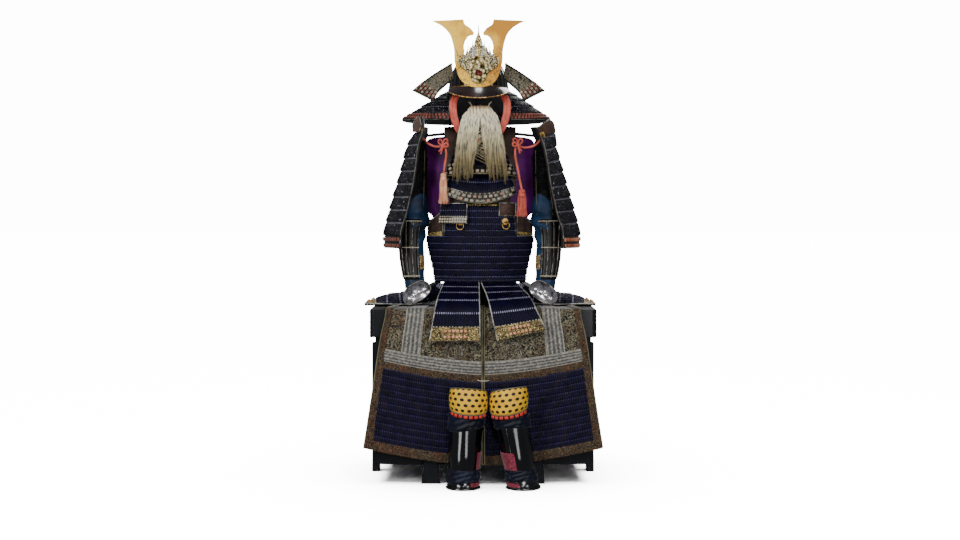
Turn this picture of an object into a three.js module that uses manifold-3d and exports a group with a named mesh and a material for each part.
// A suit of laced samurai armour, a domaru, set out as if worn by a seated wearer who isn't there.
// It sits on the six-legged lacquered chest that it is stored in, and a T-shaped wooden stand inside
// the empty cuirass carries the helmet, the shoulder straps and the sleeves.
//
// Millimetres. X runs to the right as one faces the armour, Y to its back and Z up from the floor.
// "left" and "right" are as one faces it. Every garment piece is a thin open wall.
import * as THREE from "three";
import { mergeVertices } from "three/addons/utils/BufferGeometryUtils.js";
import Module from "manifold-3d";

const wasm = await Module();
wasm.setup();

// ---- Driving dimensions ----
const CHEST = { halfWidth: 350, halfDepth: 222, bottom: 58, top: 547.6, wall: 12 };
const LID = { halfWidth: 368, halfDepth: 237, bottom: 471, top: 560, wall: 11, corner: 16 };
const LEG = { height: 435, top: 46, foot: 61, flareFrom: 62, thickness: 25, frontX: 169, round: 12 };
const GAP = 0.4; // between pieces that touch
const BODY_X = -10; // the worn pieces sit a little to the left of the chest's middle
const HEAD_X = -15;
const CENTRE = { x: 7.9, y: 60.1 }; // brings the middle of the whole set's box to X = 0, Y = 0
const CLOTH = 2.5;
const PLATE = 3;
const LACED = 5; // a row of lacquered scales under its silk lacing
const LAP = 3; // how far each laced row stands proud of the next one down
const FINE_LACED = 4; // the thinner rows of the chest flap, the throat and the neck guard
const FINE_LAP = 2.5;
const SIDES = [
  { side: "left", s: -1 },
  { side: "right", s: 1 },
];

const LACQUER = { color: 0x0b0b0f, roughness: 0.25, metalness: 0.1 };
const NAVY_SILK = { color: 0x15162e, roughness: 0.8, metalness: 0 };
const BROCADE = { color: 0x4a3d2b, roughness: 0.85, metalness: 0 };
const BINDING = { color: 0x8f8c84, roughness: 0.8, metalness: 0 };
const PURPLE_SILK = { color: 0x3a0a52, roughness: 0.7, metalness: 0 };
const BLUE_HEMP = { color: 0x14294a, roughness: 0.9, metalness: 0 };
const GILT = { color: 0xc9a04a, roughness: 0.3, metalness: 1 };
const SILVER = { color: 0xc9c8c4, roughness: 0.3, metalness: 1 };
const CORAL_SILK = { color: 0xd96a52, roughness: 0.75, metalness: 0 };
const HAIR = { color: 0xcfc8a6, roughness: 0.9, metalness: 0 };
const LEATHER = { color: 0x3b2a22, roughness: 0.6, metalness: 0 };
const PRINTED_LEATHER = { color: 0x8b8577, roughness: 0.8, metalness: 0 };
const YELLOW_LEATHER = { color: 0xd9a93c, roughness: 0.7, metalness: 0 };

// ---- Reading tables and laying walls on curved surfaces ----

// A column's value at a place along a table of sections, on a smooth curve through its rows.
function read(table, key, by, at) {
  const up = table[table.length - 1][by] > table[0][by];
  const rows = up ? table : [...table].reverse();
  const last = rows.length - 1;
  let i = 0;
  while (i < last - 1 && at > rows[i + 1][by]) i += 1;
  const slope = (j, k) => (rows[k][key] - rows[j][key]) / (rows[k][by] - rows[j][by]);
  const span = rows[i + 1][by] - rows[i][by];
  const t = Math.min(1, Math.max(0, (at - rows[i][by]) / span));
  const m0 = slope(Math.max(0, i - 1), Math.min(last, i + 1)) * span;
  const m1 = slope(i, Math.min(last, i + 2)) * span;
  const [p0, p1] = [rows[i][key], rows[i + 1][key]];
  return (
    (2 * t ** 3 - 3 * t ** 2 + 1) * p0 +
    (t ** 3 - 2 * t ** 2 + t) * m0 +
    (3 * t ** 2 - 2 * t ** 3) * p1 +
    (t ** 3 - t ** 2) * m1
  );
}

// Adds to each row its share, from 0 to 1, of the way along the table's path.
function measured(table, keys) {
  let length = 0;
  const rows = table.map((row, i) => {
    if (i) length += Math.hypot(...keys.map((k) => row[k] - table[i - 1][k]));
    return { ...row, run: length };
  });
  return rows.map((row) => ({ ...row, run: row.run / length }));
}

const mix = (a, b, t) => a + (b - a) * t;
const power = (base, exponent) => Math.max(0, base) ** exponent;
const radians = (degrees) => (degrees * Math.PI) / 180;

// Numbers from a to b in equal steps.
function spread(a, b, steps) {
  return Array.from({ length: steps + 1 }, (_, i) => mix(a, b, i / steps));
}

// Rows of a plain wall.
function plain(steps, from = 0, to = 1) {
  return spread(from, to, steps).map((v) => ({ v, lift: 0 }));
}

// Rows of a laced wall: each lame leans out from its top to its foot, and the next one starts behind it.
function lames(count, lap = LAP, from = 0, to = 1) {
  const seam = 0.004 * (to - from);
  return spread(from, to, count).flatMap((v, i) => [
    ...(i ? [{ v, lift: lap }] : []),
    ...(i < count ? [{ v: v + (i ? seam : 0), lift: 0 }] : []),
  ]);
}

// A closed wall of the given thickness outside a surface. The surface takes (u, v) to a point; away is a
// point that the wall's outside faces away from. keep(i, j) leaves holes where it says no.
function wall({ surface, across, rows, thickness, inner = 0, ring = false, away, keep = () => true }) {
  const step = 1e-4;
  const normalAt = (u, v) => {
    const du = surface(u + step, v).sub(surface(u - step, v));
    const dv = surface(u, v + step).sub(surface(u, v - step));
    return du.cross(dv).normalize();
  };
  const [midU, midV] = [across[across.length >> 1], rows[rows.length >> 1].v];
  const middle = surface(midU, midV);
  const from = away ?? new THREE.Vector3(0, 0, middle.z);
  const sign = normalAt(midU, midV).dot(middle.clone().sub(from)) < 0 ? -1 : 1;
  const points = [];
  const put = (u, { v }, out) => {
    const p = surface(u, v).addScaledVector(normalAt(u, v), sign * out);
    return points.push(p.x, p.y, p.z) / 3 - 1;
  };
  const outside = rows.map((row) => across.map((u) => put(u, row, inner + thickness + row.lift)));
  const inside = rows.map((row) => across.map((u) => put(u, row, inner)));
  const columns = across.length;
  const cells = ring ? columns : columns - 1;
  const next = (i) => (i + 1) % columns;
  const has = (i, j) => {
    const column = ring ? (i + cells) % cells : i;
    return column >= 0 && column < cells && j >= 0 && j < rows.length - 1 && keep(column, j);
  };
  const faces = [];
  const quad = (a, b, c, d) => faces.push(a, b, c, a, c, d);
  for (let j = 0; j < rows.length - 1; j += 1) {
    for (let i = 0; i < cells; i += 1) {
      if (!has(i, j)) continue;
      const n = next(i);
      quad(outside[j][i], outside[j][n], outside[j + 1][n], outside[j + 1][i]);
      quad(inside[j][n], inside[j][i], inside[j + 1][i], inside[j + 1][n]);
      if (!has(i, j - 1)) quad(outside[j][n], outside[j][i], inside[j][i], inside[j][n]);
      if (!has(i, j + 1)) quad(outside[j + 1][i], outside[j + 1][n], inside[j + 1][n], inside[j + 1][i]);
      if (!has(i - 1, j)) quad(outside[j][i], outside[j + 1][i], inside[j + 1][i], inside[j][i]);
      if (!has(i + 1, j)) quad(outside[j + 1][n], outside[j][n], inside[j][n], inside[j + 1][n]);
    }
  }
  return facingOut(points, faces);
}

// A geometry from points and faces, turned the right way round.
function facingOut(points, faces) {
  const at = (i) => new THREE.Vector3().fromArray(points, i * 3);
  let volume = 0;
  for (let i = 0; i < faces.length; i += 3) {
    volume += at(faces[i]).dot(at(faces[i + 1]).cross(at(faces[i + 2])));
  }
  if (volume < 0) {
    for (let i = 0; i < faces.length; i += 3) {
      [faces[i + 1], faces[i + 2]] = [faces[i + 2], faces[i + 1]];
    }
  }
  const geometry = new THREE.BufferGeometry();
  geometry.setAttribute("position", new THREE.Float32BufferAttribute(points, 3));
  geometry.setIndex(faces);
  geometry.computeVertexNormals();
  return geometry;
}

// ---- Cutting and joining ----

function solid(geometry) {
  const bare = geometry.clone();
  bare.deleteAttribute("normal");
  bare.deleteAttribute("uv");
  const merged = mergeVertices(bare, 1e-3);
  return new wasm.Manifold(
    new wasm.Mesh({
      numProp: 3,
      vertProperties: merged.attributes.position.array,
      triVerts: new Uint32Array(merged.index.array),
    }),
  );
}

function geometryOf(manifold) {
  const mesh = manifold.getMesh();
  const geometry = new THREE.BufferGeometry();
  geometry.setAttribute("position", new THREE.BufferAttribute(mesh.vertProperties, 3));
  geometry.setIndex(new THREE.BufferAttribute(mesh.triVerts, 1));
  geometry.computeVertexNormals();
  return geometry;
}

const joined = (...geometries) => geometryOf(geometries.map(solid).reduce((a, b) => a.add(b)));
const cut = (geometry, ...tools) =>
  geometryOf(tools.map(solid).reduce((a, b) => a.subtract(b), solid(geometry)));

function block(low, high) {
  const size = high.map((h, i) => h - low[i]);
  const middle = high.map((h, i) => (h + low[i]) / 2);
  return new THREE.BoxGeometry(...size).translate(...middle);
}

// A tube along a smooth curve through points.
function cordAlong(points, radius, steps, sides = 8) {
  const around = spread(0, 2 * Math.PI, sides).slice(0, sides);
  const rim = around.map((a) => new THREE.Vector2(radius * Math.cos(a), radius * Math.sin(a)));
  const section = new THREE.Shape(rim);
  const route = points.map((p) => new THREE.Vector3(...p));
  const extrudePath = new THREE.CatmullRomCurve3(route, false, "centripetal");
  return new THREE.ExtrudeGeometry(section, { steps, extrudePath, curveSegments: 1 });
}

const figure = new THREE.Group();
figure.position.set(CENTRE.x, CENTRE.y, 0);
const worn = new THREE.Group();
worn.position.x = BODY_X;
const head = new THREE.Group();
head.position.x = HEAD_X;
figure.add(worn, head);

function add(group, name, geometry, finish) {
  const mesh = new THREE.Mesh(geometry, new THREE.MeshStandardMaterial(finish));
  mesh.name = name;
  group.add(mesh);
  return mesh;
}

// ---- The lacquered chest that the set sits on ----

function roundedRectangle(halfWidth, halfDepth, corner) {
  const [w, d, c] = [halfWidth, halfDepth, corner];
  const shape = new THREE.Shape().moveTo(-w + c, -d).lineTo(w - c, -d);
  shape.absarc(w - c, -d + c, c, -Math.PI / 2, 0).absarc(w - c, d - c, c, 0, Math.PI / 2);
  shape.absarc(-w + c, d - c, c, Math.PI / 2, Math.PI).absarc(-w + c, -d + c, c, Math.PI, 1.5 * Math.PI);
  return shape;
}

const lidOuter = new THREE.ExtrudeGeometry(roundedRectangle(LID.halfWidth, LID.halfDepth, LID.corner), {
  depth: LID.top - LID.bottom,
  bevelEnabled: false,
  curveSegments: 4,
}).translate(0, 0, LID.bottom);
const lidHollow = block(
  [-LID.halfWidth + LID.wall, -LID.halfDepth + LID.wall, LID.bottom - 1],
  [LID.halfWidth - LID.wall, LID.halfDepth - LID.wall, LID.top - CHEST.wall],
);
add(figure, "chest_lid", cut(lidOuter, lidHollow), LACQUER);

const chestHollow = block(
  [-CHEST.halfWidth + CHEST.wall, -CHEST.halfDepth + CHEST.wall, CHEST.bottom + CHEST.wall],
  [CHEST.halfWidth - CHEST.wall, CHEST.halfDepth - CHEST.wall, CHEST.top + 1],
);
const chestOuter = block(
  [-CHEST.halfWidth, -CHEST.halfDepth, CHEST.bottom],
  [CHEST.halfWidth, CHEST.halfDepth, CHEST.top],
);
add(figure, "chest_body", cut(chestOuter, chestHollow), LACQUER);

// A leg is a board with a rounded head and a foot that flares.
function legGeometry() {
  const { height, top, foot, flareFrom, thickness, round } = LEG;
  const shape = new THREE.Shape().moveTo(-foot / 2, 0).lineTo(foot / 2, 0).lineTo(top / 2, flareFrom);
  shape.lineTo(top / 2, height - round).absarc(top / 2 - round, height - round, round, 0, Math.PI / 2);
  shape.absarc(-top / 2 + round, height - round, round, Math.PI / 2, Math.PI).lineTo(-top / 2, flareFrom);
  return new THREE.ExtrudeGeometry(shape, { depth: thickness, bevelEnabled: false, curveSegments: 3 })
    .rotateX(Math.PI / 2)
    .translate(0, -GAP, 0);
}

// Each leg stands outside its wall: x and y are where it meets the wall, turn is the way that it faces.
const LEGS = [
  { name: "front_left", x: -LEG.frontX, y: -CHEST.halfDepth, turn: 0 },
  { name: "front_right", x: LEG.frontX, y: -CHEST.halfDepth, turn: 0 },
  { name: "side_right", x: CHEST.halfWidth, y: 0, turn: 90 },
  { name: "back_right", x: LEG.frontX, y: CHEST.halfDepth, turn: 180 },
  { name: "back_left", x: -LEG.frontX, y: CHEST.halfDepth, turn: 180 },
  { name: "side_left", x: -CHEST.halfWidth, y: 0, turn: -90 },
];
for (const { name, x, y, turn } of LEGS) {
  const leg = add(figure, `chest_leg_${name}`, legGeometry(), LACQUER);
  leg.position.set(x, y, 0);
  leg.rotation.z = radians(turn);
}

// ---- The stand inside: a foot, a post, a shoulder bar and a pad under the helmet ----
const POST = { half: 17, foot: [90, 70, 14], padRadius: 46, padFrom: 1330, padHeight: 22 };
const BAR = { halfLength: 186, middle: 1152, end: 1140, thick: 9, halfDepth: 13 };

function shoulderBar() {
  const { halfLength, middle, end, thick, halfDepth } = BAR;
  const shape = new THREE.Shape().moveTo(-halfLength, end - thick);
  shape.quadraticCurveTo(0, 2 * middle - end - thick, halfLength, end - thick);
  shape.lineTo(halfLength, end);
  shape.quadraticCurveTo(0, 2 * middle - end, -halfLength, end);
  return new THREE.ExtrudeGeometry(shape, { depth: 2 * halfDepth, bevelEnabled: false, curveSegments: 6 })
    .rotateX(Math.PI / 2)
    .translate(0, halfDepth, 0);
}

const [footX, footY, footZ] = POST.foot;
const standFoot = LID.top + GAP;
const pad = new THREE.CylinderGeometry(POST.padRadius * 0.8, POST.padRadius, POST.padHeight, 16)
  .rotateX(Math.PI / 2)
  .translate(0, 0, POST.padFrom + POST.padHeight / 2);
add(
  worn,
  "stand",
  joined(
    block([-footX, -footY, standFoot], [footX, footY, standFoot + footZ]),
    block([-POST.half, -POST.half, standFoot + 1], [POST.half, POST.half, POST.padFrom + 1]),
    shoulderBar(),
    pad,
  ),
  LACQUER,
);

// ---- The purple silk vest under the armour ----
const VEST = measured(
  [
    { z: 846, a: 148, b: 92 },
    { z: 900, a: 152, b: 90 },
    { z: 960, a: 158, b: 84 },
    { z: 1030, a: 176, b: 70 },
    { z: 1090, a: 185, b: 57 },
    { z: 1120, a: 177, b: 48 },
    { z: 1129, a: 150, b: 45 },
    { z: 1131, a: 110, b: 46 },
    { z: 1128, a: 74, b: 52 },
  ],
  ["z", "a"],
);
// A point on an oval, from the front at angle 0 round by the right.
const onOval = (a, b, angle, z) => new THREE.Vector3(a * Math.sin(angle), -b * Math.cos(angle), z);
const FULL_TURN = 2 * Math.PI;
const ringOf = (sides) => spread(0, FULL_TURN, sides).slice(0, sides);

const ARMHOLE = { rows: [3, 4], columns: [3, 4, 5, 12, 13, 14] };
const vestSurface = (u, v) =>
  onOval(read(VEST, "a", "run", v), read(VEST, "b", "run", v), u, read(VEST, "z", "run", v));
add(
  worn,
  "under_vest",
  wall({
    surface: vestSurface,
    across: ringOf(18),
    rows: plain(8),
    thickness: CLOTH,
    ring: true,
    away: new THREE.Vector3(0, 0, 960),
    keep: (i, j) => !ARMHOLE.rows.includes(j) || !ARMHOLE.columns.includes(i),
  }),
  PURPLE_SILK,
);

// ---- The cuirass: laced rows right round the waist, then a front and a back ----
const CUIRASS = [
  { z: 640, a: 146, b: 108 },
  { z: 700, a: 157, b: 115 },
  { z: 765, a: 172, b: 122 },
  { z: 810, a: 176, b: 124 },
  { z: 880, a: 174, b: 124 },
  { z: 960, a: 162, b: 113 },
  { z: 1010, a: 150, b: 104 },
];
const WAIST = { bottom: 643.6, top: 797, lames: 7 };
const FRONT = { bottom: 798.5, top: 903, lames: 5, halfAngleFoot: 41.5, halfAngleTop: 38 };
const BACK = { bottom: 798.5, top: 968, lames: 7, halfAngleFoot: 62, halfAngleTop: 50 };
const BREAST = { bottom: 904.5, top: 962, halfAngle: 36 };
const SIDE_PLATE = { bottom: 799, high: 886, low: 838, from: 43, to: 114 };

const cuirassAt = (angle, z) => onOval(read(CUIRASS, "a", "z", z), read(CUIRASS, "b", "z", z), angle, z);
const waistSurface = (u, v) => cuirassAt(u, mix(WAIST.top, WAIST.bottom, v));
add(
  worn,
  "waist_rows",
  wall({
    surface: waistSurface,
    across: ringOf(26),
    rows: lames(WAIST.lames),
    thickness: LACED,
    ring: true,
  }),
  NAVY_SILK,
);

// A laced panel of the cuirass about a middle angle, narrower at its top.
function cuirassPanel({ bottom, top, halfAngleFoot, halfAngleTop }, middle) {
  const halfAngle = (v) => radians(mix(halfAngleTop, halfAngleFoot, v));
  return (u, v) => cuirassAt(middle + u * halfAngle(v), mix(top, bottom, v));
}
add(
  worn,
  "back_rows",
  wall({
    surface: cuirassPanel(BACK, Math.PI),
    across: spread(-1, 1, 10),
    rows: lames(BACK.lames),
    thickness: LACED,
  }),
  NAVY_SILK,
);
const breastSurface = (u, v) => cuirassAt(u * radians(BREAST.halfAngle), mix(BREAST.top, BREAST.bottom, v));
add(
  worn,
  "breast_plate",
  wall({ surface: breastSurface, across: spread(-1, 1, 8), rows: plain(2), thickness: PLATE + 2 }),
  LEATHER,
);

// A leather-faced plate under each arm: high at its front edge and hollowed for the arm.
function sidePlateSurface(s) {
  const { bottom, high, low, from, to } = SIDE_PLATE;
  return (u, v) => {
    const top = mix(low, high, Math.max(0, 1 - 2 * u) ** 1.5 + 0.35 * Math.max(0, 2 * u - 1) ** 2);
    return cuirassAt(s * radians(mix(from, to, u)), mix(top, bottom, v));
  };
}
for (const { side, s } of SIDES) {
  add(
    worn,
    `side_plate_${side}`,
    wall({ surface: sidePlateSurface(s), across: spread(0, 1, 6), rows: plain(3), thickness: PLATE }),
    LEATHER,
  );
}

// ---- Shoulder straps, over the bar from the back to the breast ----
const STRAP = measured(
  [
    { y: 106, z: 972 },
    { y: 88, z: 1050 },
    { y: 62, z: 1112 },
    { y: 30, z: 1151 },
    { y: 0, z: 1161 },
    { y: -30, z: 1147 },
    { y: -62, z: 1095 },
    { y: -84, z: 1030 },
    { y: -92, z: 966 },
  ],
  ["y", "z"],
);
const STRAP_SIZE = { middleX: 98, half: 22, thickness: 5 };
for (const { side, s } of SIDES) {
  const { middleX, half, thickness } = STRAP_SIZE;
  const surface = (u, v) =>
    new THREE.Vector3(s * middleX + u * half, read(STRAP, "y", "run", v), read(STRAP, "z", "run", v));
  const away = new THREE.Vector3(s * middleX, 0, 1000);
  const strap = wall({ surface, across: [-1, 0, 1], rows: plain(12), thickness, away });
  add(worn, `shoulder_strap_${side}`, strap, LEATHER);
}

// ---- Chest pieces: a laced flap, a leather plate, and a ring on a rosette under each ----
const FLAP = { x: -79, halfWidth: 41, top: 905, bottom: 838, offTop: 7, offBottom: 17, lames: 3, lap: 2 };
const CHEST_PLATE = { x: 84, halfWidth: 27, top: 908, bottom: 862, off: 8.5 };

function chestPieceSurface({ x, halfWidth, top, bottom }, offTop, offBottom) {
  return (u, v) => {
    const z = mix(top, bottom, v);
    const [a, b] = [read(CUIRASS, "a", "z", z), read(CUIRASS, "b", "z", z)];
    const angle = Math.asin((x + u * halfWidth) / a);
    const out = mix(offTop, offBottom, v) + LACED;
    return onOval(a + out, b + out, angle, z);
  };
}
add(
  worn,
  "chest_flap",
  wall({
    surface: chestPieceSurface(FLAP, FLAP.offTop, FLAP.offBottom),
    across: spread(-1, 1, 4),
    rows: lames(FLAP.lames, FLAP.lap),
    thickness: FINE_LACED,
  }),
  NAVY_SILK,
);
add(
  worn,
  "chest_plate",
  wall({
    surface: chestPieceSurface(CHEST_PLATE, CHEST_PLATE.off, CHEST_PLATE.off - 2),
    across: spread(-1, 1, 3),
    rows: plain(2),
    thickness: PLATE,
  }),
  LEATHER,
);

// A ring hangs through the eye of each staple, whose rosette sits on the chest's rows.
const RING = { radius: 12.5, wire: 1.5 };
const STAPLE = { rosette: 12, thick: 2.5, stem: 3, stemLength: 8, eyeOut: 5, eyeHole: 2.3, eyeWire: 1 };
const STAPLES = [
  { side: "left", x: -62, z: 843 },
  { side: "right", x: 80, z: 845 },
];

// The place and turn of a staple, with its front facing away from the cuirass.
function stapleSeat(x, z) {
  const [a, b] = [read(CUIRASS, "a", "z", z), read(CUIRASS, "b", "z", z)];
  const angle = Math.asin(x / a);
  const out = LACED + LAP + 0.8;
  const seat = new THREE.Group();
  seat.position.copy(onOval(a + out, b + out, angle, z));
  seat.rotation.z = Math.atan2(Math.sin(angle) / a, Math.cos(angle) / b);
  seat.updateMatrix();
  return seat;
}
function stapleGeometries(seat) {
  const { rosette, thick, stem, stemLength, eyeOut, eyeHole, eyeWire } = STAPLE;
  return [
    new THREE.CylinderGeometry(rosette, rosette * 0.8, thick, 14).translate(0, -thick / 2, 0),
    new THREE.CylinderGeometry(stem, stem, stemLength, 8).translate(0, stemLength / 2 - 1, 0),
    new THREE.TorusGeometry(eyeHole + eyeWire, eyeWire, 6, 14)
      .rotateY(Math.PI / 2)
      .translate(0, -eyeOut, 0),
  ].map((geometry) => geometry.applyMatrix4(seat.matrix));
}
const seats = STAPLES.map(({ x, z }) => stapleSeat(x, z));
const chestRows = wall({
  surface: cuirassPanel(FRONT, 0),
  across: spread(-1, 1, 10),
  rows: lames(FRONT.lames),
  thickness: LACED,
});
add(worn, "chest_rows", joined(chestRows, ...seats.flatMap(stapleGeometries)), NAVY_SILK);
STAPLES.forEach(({ side }, i) => {
  worn.add(seats[i]);
  const hoop = new THREE.TorusGeometry(RING.radius, RING.wire, 6, 20).rotateX(Math.PI / 2);
  add(seats[i], `ring_${side}`, hoop.translate(0, -STAPLE.eyeOut, -RING.radius), GILT);
});

// ---- Tassets: laced flaps that hang from the waist over the thighs and the chest's edges ----
const TASSET = { lames: 6, lap: FINE_LAP, hungAt: 641 };
// How far out from the middle, and how high, a tasset's underside runs; arch is how far its edges drop.
const FRONT_RUN = measured(
  [
    { out: 114, z: 637 },
    { out: 150, z: 628 },
    { out: 195, z: 612 },
    { out: 238, z: 592 },
    { out: 266, z: 566 },
    { out: 277, z: 532 },
    { out: 283, z: 496 },
    { out: 286, z: 463 },
  ],
  ["out", "z"],
);
const SIDE_RUN = measured(
  [
    { out: 152, z: 637, arch: 0 },
    { out: 176, z: 622, arch: 6 },
    { out: 215, z: 608, arch: 20 },
    { out: 262, z: 599, arch: 35 },
    { out: 320, z: 590, arch: 27 },
    { out: 360, z: 574, arch: 11 },
    { out: 388, z: 562.5, arch: 0 },
  ],
  ["out", "z"],
);
const BACK_RUN = measured(
  [
    { out: 114, z: 637 },
    { out: 150, z: 620 },
    { out: 195, z: 594 },
    { out: 241, z: 571 },
    { out: 251, z: 548 },
    { out: 254, z: 512 },
    { out: 253, z: 474 },
  ],
  ["out", "z"],
);
// tops are its two edges at the waist, feet at its foot, and lift is how much higher the second edge's
// foot hangs.
const TASSETS = [
  { name: "front_left", run: FRONT_RUN, way: "front", tops: [-119, -3], feet: [-163, 1], lift: 0 },
  { name: "front_right", run: FRONT_RUN, way: "front", tops: [3, 119], feet: [55, 213], lift: 36 },
  { name: "side_left", run: SIDE_RUN, way: "left", tops: [-52, 56], feet: [-62, 78], lift: 0 },
  { name: "side_right", run: SIDE_RUN, way: "right", tops: [-52, 56], feet: [-62, 78], lift: 0 },
  { name: "back_left", run: BACK_RUN, way: "back", tops: [-119, -3], feet: [-150, -6], lift: 0 },
  { name: "back_right", run: BACK_RUN, way: "back", tops: [3, 119], feet: [6, 150], lift: 0 },
];
const WAY = {
  front: (across, out, z) => new THREE.Vector3(across, -out, z),
  back: (across, out, z) => new THREE.Vector3(across, out, z),
  left: (across, out, z) => new THREE.Vector3(-out, across, z),
  right: (across, out, z) => new THREE.Vector3(out, across, z),
};

function tassetSurface({ run, way, tops, feet, lift }) {
  const [a, b] = ["a", "b"].map((key) => read(CUIRASS, key, "z", TASSET.hungAt));
  const sideways = way === "left" || way === "right";
  const [reach, spanAcross] = sideways ? [a, b] : [b, a];
  return (u, v) => {
    const top = mix(tops[0], tops[1], u);
    const foot = mix(feet[0], feet[1], u);
    const back = reach * (1 - Math.sqrt(1 - (top / (spanAcross + LACED)) ** 2));
    const across = mix(top, foot, power(v, 1.2));
    const out = read(run, "out", "run", v) - back * (1 - v) ** 2;
    const drop = sideways ? read(run, "arch", "run", v) * (2 * u - 1) ** 2 : 0;
    const low = read(run, "z", "run", v) + lift * u * v ** 2 - drop;
    return WAY[way](across, out, low);
  };
}
for (const tasset of TASSETS) {
  const middle = tassetSurface(tasset)(0.5, 0.6);
  const away = new THREE.Vector3(middle.x * 0.5, middle.y * 0.5, 400);
  add(
    worn,
    `tasset_${tasset.name}`,
    wall({
      surface: tassetSurface(tasset),
      across: spread(0, 1, 5),
      rows: lames(TASSET.lames, TASSET.lap),
      thickness: LACED,
      away,
    }),
    NAVY_SILK,
  );
}

// ---- Thigh guard: an apron in two halves, over the chest's front edge ----
// run is down the apron: along the lid, over its edge and down. edge is the outer edge's place, drop how
// much higher than the middle that edge hangs.
const APRON = measured(
  [
    { y: -118, z: 562, edge: 296, drop: 0 },
    { y: -180, z: 562, edge: 304, drop: 0 },
    { y: -232, z: 562, edge: 312, drop: 0 },
    { y: -241, z: 559, edge: 314, drop: 0 },
    { y: -246, z: 547, edge: 315, drop: 1 },
    { y: -252, z: 520, edge: 319, drop: 5 },
    { y: -256, z: 470, edge: 327, drop: 22 },
    { y: -258, z: 396, edge: 336, drop: 46 },
    { y: -260, z: 353, edge: 342, drop: 50 },
    { y: -264, z: 200, edge: 364, drop: 54 },
    { y: -268, z: 63, edge: 385, drop: 56 },
  ],
  ["y", "z"],
);
const UPPER_ROWS = APRON.slice(0, 9).map(({ run }) => ({ v: run, lift: 0 })); // its brocade half
const FIELD_FROM = UPPER_ROWS[8].v + 0.022; // the laced field starts this far down
const FIELD = { lames: 9, lap: 2 };
const BAND = { innerX: 0.55, outerX: 0.735, thick: 1.6 };

function apronSurface(s) {
  return (u, v) => {
    const x = s * mix(1.5, read(APRON, "edge", "run", v), u);
    const z = read(APRON, "z", "run", v) + read(APRON, "drop", "run", v) * power(u, 1.6);
    return new THREE.Vector3(x, read(APRON, "y", "run", v), z);
  };
}
const apronAway = new THREE.Vector3(0, 0, 300);
const bandInner = CLOTH + FIELD.lap + GAP; // the binding lies over the cloth and its rows
const edgeShare = 0.045;
for (const { side, s } of SIDES) {
  const surface = apronSurface(s);
  const clothRows = [...UPPER_ROWS, ...lames(FIELD.lames, FIELD.lap, FIELD_FROM, 1)];
  add(
    figure,
    `thigh_guard_${side}`,
    wall({ surface, across: spread(0, 1, 6), rows: clothRows, thickness: CLOTH, away: apronAway }),
    BROCADE,
  );
  // The binding: a border all round, a band above the laced field, and a band down from the waist to it.
  const across = [0, edgeShare, BAND.innerX, BAND.outerX, 1 - edgeShare, 1];
  const lowerRows = [0.66, 0.78, 0.88, 0.965, 1].map((v) => ({ v, lift: 0 }));
  const rows = [...UPPER_ROWS, ...lowerRows];
  const bandRow = UPPER_ROWS.length - 2;
  const border = (i, j) => i === 0 || i === across.length - 2 || j === rows.length - 2;
  const keep = (i, j) => border(i, j) || j === bandRow || (i === 2 && j < bandRow);
  add(
    figure,
    `thigh_binding_${side}`,
    wall({ surface, across, rows, inner: bandInner, thickness: BAND.thick, away: apronAway, keep }),
    BINDING,
  );
}

// ---- Shin guards: lacquered shin plates and a leather-faced knee guard ----
const SHIN = [
  { z: 0, a: 49, b: 52 },
  { z: 30, a: 45, b: 45 },
  { z: 60, a: 42, b: 42 },
  { z: 120, a: 46, b: 46 },
  { z: 180, a: 51, b: 51 },
  { z: 246, a: 52, b: 50 },
];
const SHIN_SHAPE = { top: 246, halfAngle: 112 };
// Its section from the top down: cloth ties stand out from it below the knee and round the ankle.
const SHIN_ROWS = [
  { z: 246, lift: 0 },
  { z: 237, lift: 0 },
  { z: 234, lift: 6 },
  { z: 192, lift: 6 },
  { z: 188, lift: 0 },
  { z: 120, lift: 0 },
  { z: 62, lift: 0 },
  { z: 59, lift: 5 },
  { z: 26, lift: 5 },
  { z: 22, lift: 0 },
  { z: 2, lift: 0 },
];
// Where each shin stands, how its top leans, and how far it turns outwards.
const SHINS = [
  { side: "left", footX: -64, topX: -52, y: -312, turn: -6, kneeX: -47, kneeTilt: -4 },
  { side: "right", footX: 128, topX: 84, y: -312, turn: 20, kneeX: 81, kneeTilt: 9 },
];
const KNEE = { low: 240, high: 322, a: 55.5, b: 56, halfAngle: 84, y: -318, thick: 5 };

const shinRows = SHIN_ROWS.map(({ z, lift }) => ({ v: 1 - z / SHIN_SHAPE.top, lift }));

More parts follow.
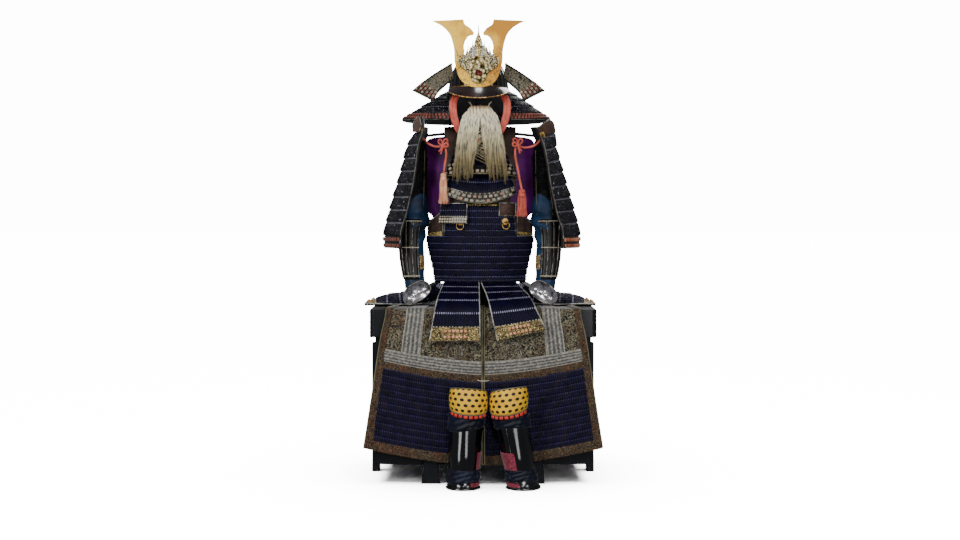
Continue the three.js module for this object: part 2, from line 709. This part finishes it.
for (const { side, footX, topX, y, turn, kneeX, kneeTilt } of SHINS) {
  const lean = (z) => mix(footX, topX, z / SHIN_SHAPE.top);
  const shinSurface = (u, v) => {
    const z = mix(SHIN_SHAPE.top, 0, v);
    const angle = radians(u * SHIN_SHAPE.halfAngle + turn);
    const p = onOval(read(SHIN, "a", "z", z), read(SHIN, "b", "z", z), angle, z);
    return p.add(new THREE.Vector3(lean(z), y, 0));
  };
  const away = new THREE.Vector3(lean(120), y, 120);
  const across = spread(-1, 1, 10);
  const shin = wall({ surface: shinSurface, across, rows: shinRows, thickness: PLATE, away });
  add(figure, `shin_guard_${side}`, shin, LACQUER);
  const kneeSurface = (u, v) => {
    // a rounded pad shape, pulled in at its corners
    const [across, down] = [u * Math.sqrt(1 - (v * v) / 3), v * Math.sqrt(1 - (u * u) / 3.2)];
    const z = mix(KNEE.high, KNEE.low, (down + 1) / 2);
    const angle = across * radians(KNEE.halfAngle);
    const swell = 1 + 0.05 * (1 - down * down);
    const tilted = z + Math.sin(angle) * KNEE.a * Math.tan(radians(kneeTilt));
    const p = onOval(KNEE.a * swell, KNEE.b * swell, angle, tilted);
    return p.add(new THREE.Vector3(kneeX, KNEE.y, 0));
  };
  const kneeAway = new THREE.Vector3(kneeX, KNEE.y, mix(KNEE.low, KNEE.high, 0.5));
  add(
    figure,
    `knee_guard_${side}`,
    wall({
      surface: kneeSurface,
      across: spread(-1, 1, 10),
      rows: plain(5).map(({ v }) => ({ v: 2 * v - 1, lift: 0 })),
      thickness: KNEE.thick,
      away: kneeAway,
    }),
    YELLOW_LEATHER,
  );
}

// ---- Sleeves with forearm splints and hand guards ----
const ARM = [
  { z: 1118, x: 202, y: 4, rx: 15, ry: 40 },
  { z: 1085, x: 213, y: 4, rx: 20, ry: 48 },
  { z: 1020, x: 224, y: 2, rx: 27, ry: 50 },
  { z: 950, x: 230, y: 0, rx: 35, ry: 50 },
  { z: 900, x: 234, y: -4, rx: 43, ry: 50 },
  { z: 850, x: 233, y: -8, rx: 44, ry: 48 },
  { z: 800, x: 231, y: -16, rx: 43, ry: 46 },
  { z: 740, x: 230, y: -30, rx: 40, ry: 44 },
  { z: 690, x: 226, y: -48, rx: 37, ry: 41 },
  { z: 645, x: 220, y: -66, rx: 33, ry: 36 },
  { z: 622, x: 217, y: -76, rx: 33, ry: 34 },
];
const SPLINTS = { top: 852, bottom: 651, from: -30, to: 150, off: 1.2 };

// A point on the arm's skin: angle 0 faces the front and grows towards the outer side.
const onArm = (s, angle, z) =>
  new THREE.Vector3(
    s * (read(ARM, "x", "z", z) + read(ARM, "rx", "z", z) * Math.sin(angle)),
    read(ARM, "y", "z", z) - read(ARM, "ry", "z", z) * Math.cos(angle),
    z,
  );
// The hand guard's dome: its middle, the way across the knuckles and the way the fingers point.
const HAND = { x: 208, y: -128, z: 607, halfWidth: 49, halfLength: 33, height: 22, thick: 2.5, knuckle: 8 };

for (const { side, s } of SIDES) {
  const [shoulder, cuff] = [ARM[0].z, ARM[ARM.length - 1].z];
  add(
    worn,
    `sleeve_${side}`,
    wall({
      surface: (u, v) => onArm(s, u, mix(shoulder, cuff, v)),
      across: ringOf(12),
      rows: plain(11),
      thickness: CLOTH,
      inner: -CLOTH,
      ring: true,
      away: new THREE.Vector3(s * 234, 0, 870),
    }),
    BLUE_HEMP,
  );
  const { top, bottom, from, to, off } = SPLINTS;
  add(
    worn,
    `forearm_splints_${side}`,
    wall({
      surface: (u, v) => onArm(s, radians(mix(from, to, u)), mix(top, bottom, v)),
      across: spread(0, 1, 6),
      rows: plain(5),
      thickness: PLATE,
      inner: off,
      away: new THREE.Vector3(s * 230, -25, 750),
    }),
    LACQUER,
  );
  const acrossKnuckles = new THREE.Vector3(-s * 0.85, 0, 0.53);
  const alongFingers = new THREE.Vector3(-s * 0.45, -0.5, -0.74);
  const up = new THREE.Vector3(s * 0.265, -0.8675, 0.425);
  const centre = new THREE.Vector3(s * HAND.x, HAND.y, HAND.z);
  const dome = (u, v) => {
    const [across, down] = [u * Math.sqrt(1 - (v * v) / 2.4), v * Math.sqrt(1 - (u * u) / 2.4)];
    const rise = HAND.height * (1 - across * across) * (1 - 0.6 * down * down);
    return centre
      .clone()
      .addScaledVector(acrossKnuckles, across * HAND.halfWidth)
      .addScaledVector(alongFingers, down * HAND.halfLength)
      .addScaledVector(up, rise);
  };
  const plate = wall({
    surface: dome,
    across: spread(-1, 1, 8),
    rows: plain(6).map(({ v }) => ({ v: 2 * v - 1, lift: 0 })),
    thickness: HAND.thick,
    away: centre,
  });
  const knuckles = spread(-0.6, 0.6, 3).map((u) => {
    const { x, y, z } = dome(u, 0.35).addScaledVector(up, 2);
    return new THREE.SphereGeometry(HAND.knuckle, 8, 6).translate(x, y, z);
  });
  add(worn, `hand_guard_${side}`, joined(plate, ...knuckles), SILVER);
}

// ---- Shoulder guards: a leather-faced top plate that leans in on the shoulder, and laced rows below ----
// out is how far from the body's middle a guard's outermost line runs, and bow how much its two edges
// curve back in.
const SHOULDER = [
  { z: 1036, out: 259, bow: 50 },
  { z: 978, out: 275, bow: 58 },
  { z: 922, out: 292, bow: 63 },
  { z: 862, out: 308, bow: 65 },
  { z: 812, out: 321, bow: 62 },
  { z: 756, out: 318, bow: 58 },
];
// The top plates. The left one's front corner stands up; the right one is turned, so its front corner
// hangs down and in. rows carry SHOULDER on upwards, and edges give the plate's top and foot along it.
const SHOULDER_TOPS = [
  {
    side: "left",
    s: -1,
    x: 3,
    rows: [{ z: 1193, out: 196, bow: 10 }, { z: 1150, out: 214, bow: 30 }, { z: 1098, out: 243, bow: 42 }],
    edges: [
      { u: -1, top: 1192, foot: 1146 },
      { u: -0.5, top: 1178, foot: 1146 },
      { u: 1, top: 1172, foot: 1146 },
    ],
  },
  {
    side: "right",
    s: 1,
    x: 9,
    rows: [{ z: 1193, out: 230, bow: 70 }, { z: 1150, out: 240, bow: 66 }, { z: 1098, out: 242, bow: 46 }],
    edges: [
      { u: -1, top: 1152, foot: 1124 },
      { u: -0.5, top: 1184, foot: 1136 },
      { u: 0, top: 1175, foot: 1146 },
      { u: 1, top: 1172, foot: 1146 },
    ],
  },
];
const SHOULDER_GUARD = { halfDepth: 138, foot: 756, plate: 0.1, lames: 9 };

for (const { side, s, x, rows: topRows, edges } of SHOULDER_TOPS) {
  const { halfDepth, foot, plate, lames: count } = SHOULDER_GUARD;
  const table = [...topRows, ...SHOULDER];
  const surface = (u, v) => {
    const [top, plateFoot] = [read(edges, "top", "u", u), read(edges, "foot", "u", u)];
    const z = v < plate ? mix(top, plateFoot, v / plate) : mix(plateFoot, foot, (v - plate) / (1 - plate));
    const outward = read(table, "out", "z", z) - read(table, "bow", "z", z) * u * u;
    return new THREE.Vector3(x + s * outward, u * halfDepth, z);
  };
  const away = new THREE.Vector3(0, 0, 956);
  const rows = [{ v: 0, lift: 2 }, { v: plate, lift: 3 }, ...lames(count, LAP, plate + 0.003, 1)];
  const guard = wall({ surface, across: spread(-1, 1, 8), rows, thickness: LACED, away });
  add(worn, `shoulder_guard_${side}`, guard, NAVY_SILK);
}

// ---- Throat: a gorget on the breast, and the mask's own laced throat guard over it ----
// zs, a and b are each one's height and oval at its top and at its foot, and rise is how much its ends
// lift at the foot.
const THROAT_PIECES = [
  { name: "gorget", zs: [1012, 903], rise: 35, a: [96, 118], b: [22, 49], y: -98, half: 78, count: 3 },
  { name: "throat_guard", zs: [1108, 999], rise: -8, a: [66, 122], b: [30, 92], y: -74, half: 76, count: 4 },
];
for (const { name, zs, rise, a, b, y, half, count } of THROAT_PIECES) {
  const surface = (u, v) => {
    const angle = u * radians(half);
    const z = mix(zs[0], zs[1] + rise * Math.sin(angle) ** 2, v);
    const p = onOval(mix(a[0], a[1], v), mix(b[0], b[1], v), angle, z);
    p.y += y;
    return p;
  };
  const rows = lames(count, FINE_LAP);
  const laced = wall({ surface, across: spread(-1, 1, 12), rows, thickness: FINE_LACED });
  add(worn, name, laced, NAVY_SILK);
}

// ---- The mask and its hair ----
const MASK = {
  top: 1232,
  cheek: 1196,
  chin: 1113,
  jawRise: 30,
  a: 74,
  b: 116,
  chinA: 52,
  chinB: 112,
  halfAngle: 79,
  noseOut: 20,
};
const maskSurface = (u, v) => {
  const angle = u * radians(MASK.halfAngle);
  const top = mix(MASK.cheek, MASK.top, Math.exp(-((u / 0.22) ** 2)));
  const z = mix(top, MASK.chin + MASK.jawRise * Math.sin(angle) ** 2, v);
  const [a, b] = [mix(MASK.a, MASK.chinA, v * v), mix(MASK.b, MASK.chinB, v * v)];
  const nose = MASK.noseOut * Math.exp(-((u / 0.13) ** 2)) * Math.exp(-(((v - 0.38) / 0.22) ** 2));
  return onOval(a, b + nose, angle, z);
};
add(
  worn,
  "face_mask",
  wall({ surface: maskSurface, across: spread(-1, 1, 16), rows: plain(6), thickness: PLATE }),
  LACQUER,
);

// The hair hangs from under the nose over both throat guards; depth is from its back to its front.
const BEARD = measured(
  [
    { z: 1214, half: 42, back: 141, depth: 9 },
    { z: 1190, half: 66, back: 146, depth: 14 },
    { z: 1140, half: 76, back: 160, depth: 16 },
    { z: 1070, half: 82, back: 176, depth: 15 },
    { z: 1010, half: 90, back: 184, depth: 12 },
    { z: 976, half: 92, back: 188, depth: 7 },
  ],
  ["z"],
);
const BEARD_THIN = 8; // at its two ends
const BEARD_WRAP = 26; // how far its sides curve back
const beardSurface = (u, v) => {
  const [half, back] = [read(BEARD, "half", "run", v), read(BEARD, "back", "run", v)];
  return new THREE.Vector3(u * half, -back + BEARD_WRAP * u * u, read(BEARD, "z", "run", v));
};
add(
  worn,
  "beard",
  wall({
    surface: beardSurface,
    across: spread(-1, 1, 6),
    rows: spread(0, 1, 6).map((v) => ({ v, lift: read(BEARD, "depth", "run", v) - BEARD_THIN })),
    thickness: BEARD_THIN,
    away: new THREE.Vector3(0, 0, 1100),
  }),
  HAIR,
);

// ---- The helmet: bowl, visor, neck guard, turn-backs and crest ----
const BOWL = { a: 98, b: 116, height: 130, rim: 1287, crown: 84 };
const bowlSurface = (u, v) => {
  const climb = radians(mix(0, BOWL.crown, v));
  const z = BOWL.rim + BOWL.height * Math.sin(climb);
  return onOval(BOWL.a * Math.cos(climb), BOWL.b * Math.cos(climb), u, z);
};
add(
  head,
  "helmet_bowl",
  wall({
    surface: bowlSurface,
    across: ringOf(20),
    rows: plain(5),
    thickness: PLATE,
    ring: true,
    away: new THREE.Vector3(0, 0, BOWL.rim),
  }),
  LACQUER,
);

// Its reach, out and down, is the longer towards its middle.
const VISOR = { half: 66, top: 1294, off: 4.2, thick: 2.4, sideReach: 8, reach: 44, sideDrop: 7, drop: 34 };
const visorSurface = (u, v) => {
  const angle = u * radians(VISOR.half);
  const share = Math.cos((u * Math.PI) / 2.25);
  const out = VISOR.off + v * (VISOR.sideReach + VISOR.reach * share);
  const z = VISOR.top - v * (VISOR.sideDrop + VISOR.drop * power(share, 1.5)) - 3 * v * v;
  return onOval(BOWL.a + out * 0.75, BOWL.b + out, angle, z);
};
add(
  head,
  "helmet_visor",
  wall({
    surface: visorSurface,
    across: spread(-1, 1, 12),
    rows: plain(3),
    thickness: VISOR.thick,
    away: new THREE.Vector3(0, 0, 1200),
  }),
  LACQUER,
);

// Five lames that spread like an umbrella; the front ends stop at each cheek.
const NECK_GUARD = [
  { v: 0, z: 1281, a: 103, front: 88, back: 121, x: 0 },
  { v: 0.5, z: 1238, a: 173, front: 101, back: 178, x: -3 },
  { v: 1, z: 1184, a: 250, front: 107, back: 232, x: -8 },
];
const NECK_OPENING = 90;
const NECK_LAMES = 5;
const neckSurface = (u, v) => {
  const [a, front, back] = ["a", "front", "back"].map((key) => read(NECK_GUARD, key, "v", v));
  const first = Math.asin(NECK_OPENING / a);
  const angle = mix(first, FULL_TURN - first, u);
  const b = Math.cos(angle) > 0 ? front : back;
  const p = onOval(a, b, angle, read(NECK_GUARD, "z", "v", v));
  p.x += read(NECK_GUARD, "x", "v", v);
  return p;
};
add(
  head,
  "neck_guard",
  wall({
    surface: neckSurface,
    across: spread(0, 1, 22),
    rows: lames(NECK_LAMES, FINE_LAP),
    thickness: FINE_LACED,
    away: new THREE.Vector3(0, 0, 1150),
  }),
  NAVY_SILK,
);

// Each turn-back runs out and down from beside the visor to a point, in front of the neck guard.
const TURNBACK = measured(
  [
    { x: 88, y: -96, z: 1370, lowX: 84, lowY: -114, lowZ: 1318 },
    { x: 140, y: -112, z: 1336, lowX: 112, lowY: -130, lowZ: 1294 },
    { x: 186, y: -112, z: 1304, lowX: 136, lowY: -138, lowZ: 1268 },
    { x: 218, y: -104, z: 1279, lowX: 149, lowY: -138, lowZ: 1243 },
  ],
  ["x", "z"],
);
const TURNBACK_BULGE = 8;
for (const { side, s } of SIDES) {
  const edge = (names, v) => names.map((name) => read(TURNBACK, name, "run", v));
  const surface = (u, v) => {
    const high = new THREE.Vector3(...edge(["x", "y", "z"], v));
    const low = new THREE.Vector3(...edge(["lowX", "lowY", "lowZ"], v));
    const p = high.lerp(low, u);
    return new THREE.Vector3(s * p.x, p.y - TURNBACK_BULGE * Math.sin(Math.PI * u), p.z);
  };
  const away = new THREE.Vector3(s * 120, 0, 1290);
  const leaf = wall({ surface, across: spread(0, 1, 3), rows: plain(6), thickness: PLATE, away });
  add(head, `turnback_${side}`, leaf, PRINTED_LEATHER);
}

// The crest: one gilt plate with two flared horns, and before it an ornament with flames and a blade.
const CREST = { y: -178, foot: 1283, thick: 2, ornament: 6, lean: -4 };

// A shape symmetric about x = 0, from the points of its right side, bottom to top.
function symmetric(right) {
  const left = right.filter(([x]) => x > 0).map(([x, z]) => [-x, z]);
  return new THREE.Shape([...right, ...left.reverse()].map(([x, z]) => new THREE.Vector2(x, z)));
}
const CREST_FLANK = [[0, 0], [29, 5], [50, 17], [65, 38], [73, 63], [79, 90], [80, 121], [86, 153]];
const CREST_TIP = [[96, 180], [117, 203], [146, 220], [49, 223]];
const CREST_BARB = [[45, 211], [29, 200], [15, 184], [16, 175], [33, 170], [45, 151], [48, 130]];
const CREST_INNER = [[44, 100], [25, 75], [0, 65]];
const ORNAMENT_FLANK = [[0, 4], [14, 7], [28, 22], [42, 50], [57, 64], [65, 92], [71, 128]];
const ORNAMENT_FLAMES = [[58, 104], [49, 122], [41, 106], [33, 136], [27, 114], [19, 148], [12, 126]];
const ORNAMENT_BLADE = [[13, 148], [8, 164], [2.5, 176], [1.5, 196], [0, 208]];
const ORNAMENT_HOLE = { x: 36, z: 86, halfWidth: 6, halfHeight: 12, lean: 0.5 };
const ORNAMENT_BOSS = { z: 40, halfWidth: 27, out: 17, halfHeight: 31 };

function standing(shape, depth, y) {
  return new THREE.ExtrudeGeometry(shape, { depth, bevelEnabled: false })
    .rotateX(Math.PI / 2)
    .translate(0, y, 0);
}
function ornamentGeometry() {
  const shape = symmetric([...ORNAMENT_FLANK, ...ORNAMENT_FLAMES, ...ORNAMENT_BLADE]);
  for (const side of [-1, 1]) {
    const { x, z, halfWidth, halfHeight, lean } = ORNAMENT_HOLE;
    const opening = new THREE.Path();
    opening.absellipse(side * x, z, halfWidth, halfHeight, 0, FULL_TURN, true, side * lean);
    shape.holes.push(opening);
  }
  const { z, halfWidth, out, halfHeight } = ORNAMENT_BOSS;
  const bossBall = new THREE.SphereGeometry(1, 12, 8)
    .scale(halfWidth, out, halfHeight)
    .translate(0, -CREST.thick - CREST.ornament, z);
  const before = block([-halfWidth - 1, -60, z - 60], [halfWidth + 1, -CREST.thick - GAP, z + 60]);
  const boss = geometryOf(solid(bossBall).intersect(solid(before)));
  return joined(standing(shape, CREST.ornament, -CREST.thick - GAP), boss);
}
const crest = new THREE.Group();
crest.position.set(0, CREST.y, CREST.foot);
crest.rotation.x = radians(CREST.lean);
head.add(crest);
const crestShape = symmetric([...CREST_FLANK, ...CREST_TIP, ...CREST_BARB, ...CREST_INNER]);
add(crest, "crest_plate", standing(crestShape, CREST.thick, 0), GILT);
add(crest, "crest_ornament", ornamentGeometry(), GILT);

// ---- Cords ----
const HELMET_CORD = [
  [-80, -92, 1264],
  [-90, -114, 1236],
  [-86, -119, 1190],
  [-68, -122, 1146],
  [-34, -140, 1122],
  [0, -146, 1116],
  [34, -140, 1122],
  [68, -122, 1146],
  [86, -119, 1190],
  [90, -114, 1236],
  [80, -92, 1264],
];
add(worn, "helmet_cord", cordAlong(HELMET_CORD, 6.5, 24), CORAL_SILK);

// A cord from each shoulder guard's top, to a knot before the strap and down to a tassel.
const SHOULDER_CORDS = [
  {
    side: "left",
    route: [
      [-190, -92, 1122],
      [-172, -102, 1104],
      [-148, -112, 1094],
      [-120, -119, 1092],
      [-112, -126, 1072],
      [-116, -134, 1036],
      [-120, -140, 1005],
    ],
    tassel: { x: -121, y: -141, top: 1004, foot: 900, half: 17 },
  },
  {
    side: "right",
    route: [
      [204, -104, 1120],
      [182, -110, 1098],
      [150, -116, 1090],
      [122, -119, 1094],
      [116, -128, 1068],
      [126, -142, 1010],
      [137, -151, 951],
    ],
    tassel: { x: 138, y: -152, top: 950, foot: 858, half: 20 },
  },
];
for (const { side, route, tassel } of SHOULDER_CORDS) {
  const { x, y, top, foot, half } = tassel;
  const skirt = new THREE.CylinderGeometry(half * 0.5, half, top - foot, 10).rotateX(Math.PI / 2);
  add(worn, `tassel_${side}`, skirt.scale(1, 0.6, 1).translate(x, y, (top + foot) / 2), CORAL_SILK);
  add(worn, `shoulder_cord_${side}`, cordAlong(route, 3.5, 20), CORAL_SILK);
}

export default figure;
